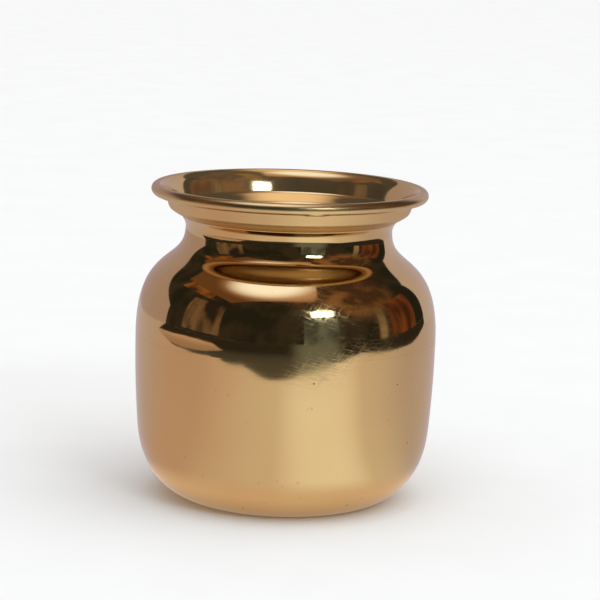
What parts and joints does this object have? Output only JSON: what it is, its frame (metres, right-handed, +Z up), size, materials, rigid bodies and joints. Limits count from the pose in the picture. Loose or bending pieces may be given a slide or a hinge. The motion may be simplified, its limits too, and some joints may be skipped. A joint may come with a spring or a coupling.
{
  "type": "lota",
  "caption": "Round-bellied spun brass water pot with a drawn-in neck and a flared collar rolled round a wire; holds and pours water.",
  "frame": {"origin": "centre of the flat base, on the surface the pot stands on", "axes": "+Z up along the pot's axis of turning; X and Y are alike"},
  "size_m": [0.102, 0.102, 0.1065],
  "materials": {
    "polished_brass": "mirror polished, warm reddish yellow",
    "drawn_wire": "drawn, unpolished",
    "braze_metal": "as melted, lightly cleaned"
  },
  "bodies": {
    "root": {"lower_body": "polished_brass", "upper_body": "polished_brass", "collar": "polished_brass", "rim_wire": "drawn_wire", "belly_braze": "braze_metal", "neck_braze": "braze_metal"}
  },
  "joints": []
}
